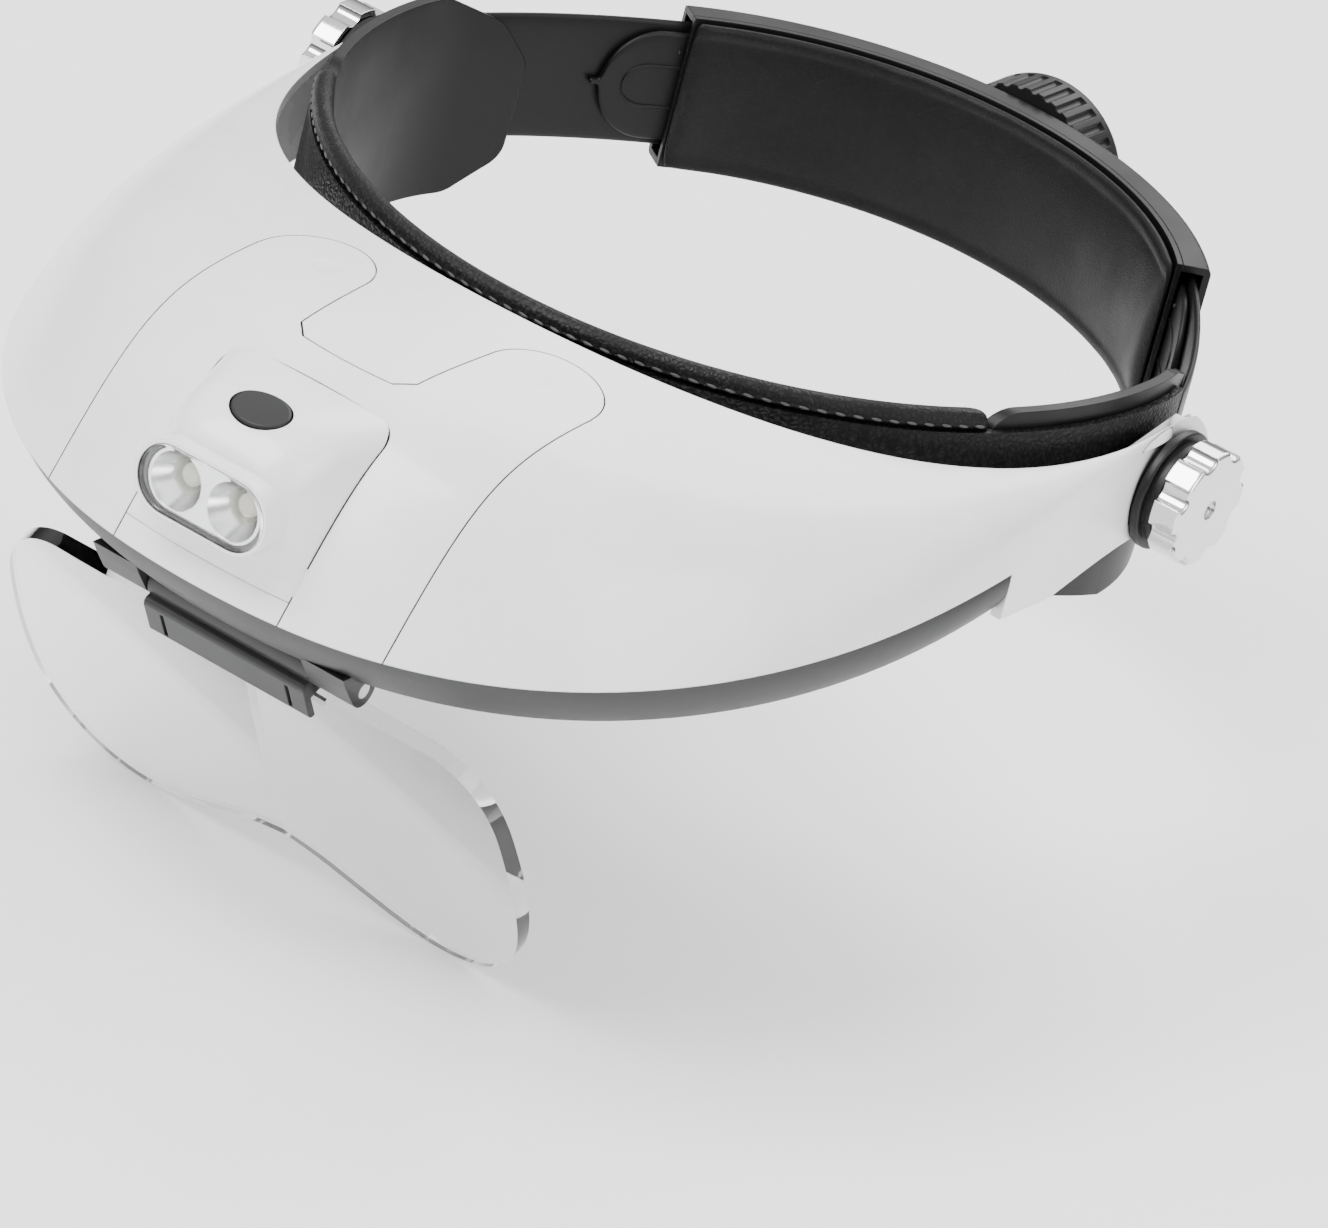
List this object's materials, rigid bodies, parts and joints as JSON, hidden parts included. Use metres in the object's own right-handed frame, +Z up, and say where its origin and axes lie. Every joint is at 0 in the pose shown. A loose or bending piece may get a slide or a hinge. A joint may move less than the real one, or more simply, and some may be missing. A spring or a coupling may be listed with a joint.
{
  "type": "head visor magnifier",
  "caption": "Tilting visor with lamp, button and battery cover, a flip-up magnifying lens, and a padded headband with clamp knobs and a rear ratchet dial.",
  "frame": {"origin": "centre of the front headband arc at the height of its top rim, where the wearer's head goes", "axes": "+Z up, square to the headband; -Y is the way the wearer faces; +X is the wearer's left"},
  "size_m": [0.2032, 0.2688, 0.1121],
  "materials": {
    "shell_white": "gloss",
    "trim_grey": "satin",
    "window_clear": "clear",
    "lens_clear": "clear",
    "reflector_bright": "bright",
    "emitter": "gloss",
    "board_green": "matte",
    "button_dark": "satin",
    "switch_black": "matte",
    "steel": "satin",
    "cell_jacket": "gloss",
    "lining_leather": "grained",
    "pad_black": "grained",
    "knob_chrome": "polished",
    "washer_black": "satin",
    "dial_black": "satin",
    "band_black": "satin"
  },
  "bodies": {
    "band": {"front_band": "band_black", "sweatband": "lining_leather", "left_temple_plate": "band_black", "right_temple_plate": "band_black", "left_pivot_bolt": "steel", "right_pivot_bolt": "steel", "left_pivot_spacer": "washer_black", "right_pivot_spacer": "washer_black", "left_pivot_washer": "washer_black", "right_pivot_washer": "washer_black", "left_side_strap": "band_black", "right_side_strap": "band_black", "left_rack": "band_black", "right_rack": "band_black"},
    "visor": {"visor_shell": "shell_white", "lamp_panel": "shell_white", "led_window": "window_clear", "led_reflectors": "reflector_bright", "led_emitters": "emitter", "led_board": "board_green", "button_switch": "switch_black", "switch_dome": "steel", "lamp_housing": "trim_grey", "battery_cells": "cell_jacket", "battery_contacts": "steel", "lamp_housing_screws": "steel", "visor_liner": "trim_grey", "brow_trim": "trim_grey", "lens_hinge_pin": "steel"},
    "cover": {"battery_cover": "shell_white"},
    "button": {"power_button": "button_dark"},
    "lens_clip": {"lens_carrier": "trim_grey"},
    "lens": {"lens_plate": "lens_clear"},
    "left_knob": {"left_pivot_knob": "knob_chrome"},
    "right_knob": {"right_pivot_knob": "knob_chrome"},
    "rear": {"rear_housing_outer": "band_black", "rear_housing_inner": "band_black", "rear_pad": "pad_black", "rear_housing_screws": "steel", "pawl_spring": "steel"},
    "dial": {"ratchet_dial": "dial_black", "pinion": "dial_black"}
  },
  "joints": [
    {"name": "visor_tilt", "type": "hinge", "parent": "band", "child": "visor", "pos_m": [0, 0.002, -0.0193], "axis": [-1, 0, 0], "range_deg": [-8, 35]},
    {"name": "cover_slide", "type": "slide", "parent": "visor", "child": "cover", "axis": [0, 0, 1], "range_m": [0, 0.02]},
    {"name": "button_press", "type": "slide", "parent": "visor", "child": "button", "axis": [0, 0.27, -0.9629], "range_m": [0, 0.0008], "stiffness_N_per_m": 400},
    {"name": "lens_flip", "type": "hinge", "parent": "visor", "child": "lens_clip", "pos_m": [0, -0.147, -0.05], "axis": [-1, 0, 0], "range_deg": [0, 85]},
    {"name": "lens_release", "type": "slide", "parent": "lens_clip", "child": "lens", "axis": [0, 0.5446, -0.8387], "range_m": [0, 0.012]},
    {"name": "left_knob_turn", "type": "hinge", "parent": "band", "child": "left_knob", "pos_m": [0, 0.002, -0.0193], "axis": [1, 0, 0], "range_deg": [0, 180]},
    {"name": "right_knob_turn", "type": "hinge", "parent": "band", "child": "right_knob", "pos_m": [0, 0.002, -0.0193], "axis": [-1, 0, 0], "range_deg": [0, 180]},
    {"name": "band_size", "type": "slide", "parent": "band", "child": "rear", "axis": [0, 1, 0], "range_m": [-0.01, 0.012], "deforming": ["left_side_strap", "right_side_strap", "left_rack", "right_rack"]},
    {"name": "dial_turn", "type": "hinge", "parent": "rear", "child": "dial", "pos_m": [0, 0.095, -0.019], "axis": [0, 1, 0], "range_deg": [-115, 137]}
  ],
  "couplings": [
    {"joint": "dial_turn", "follows": "band_size", "rad_per_m": 193.43}
  ]
}
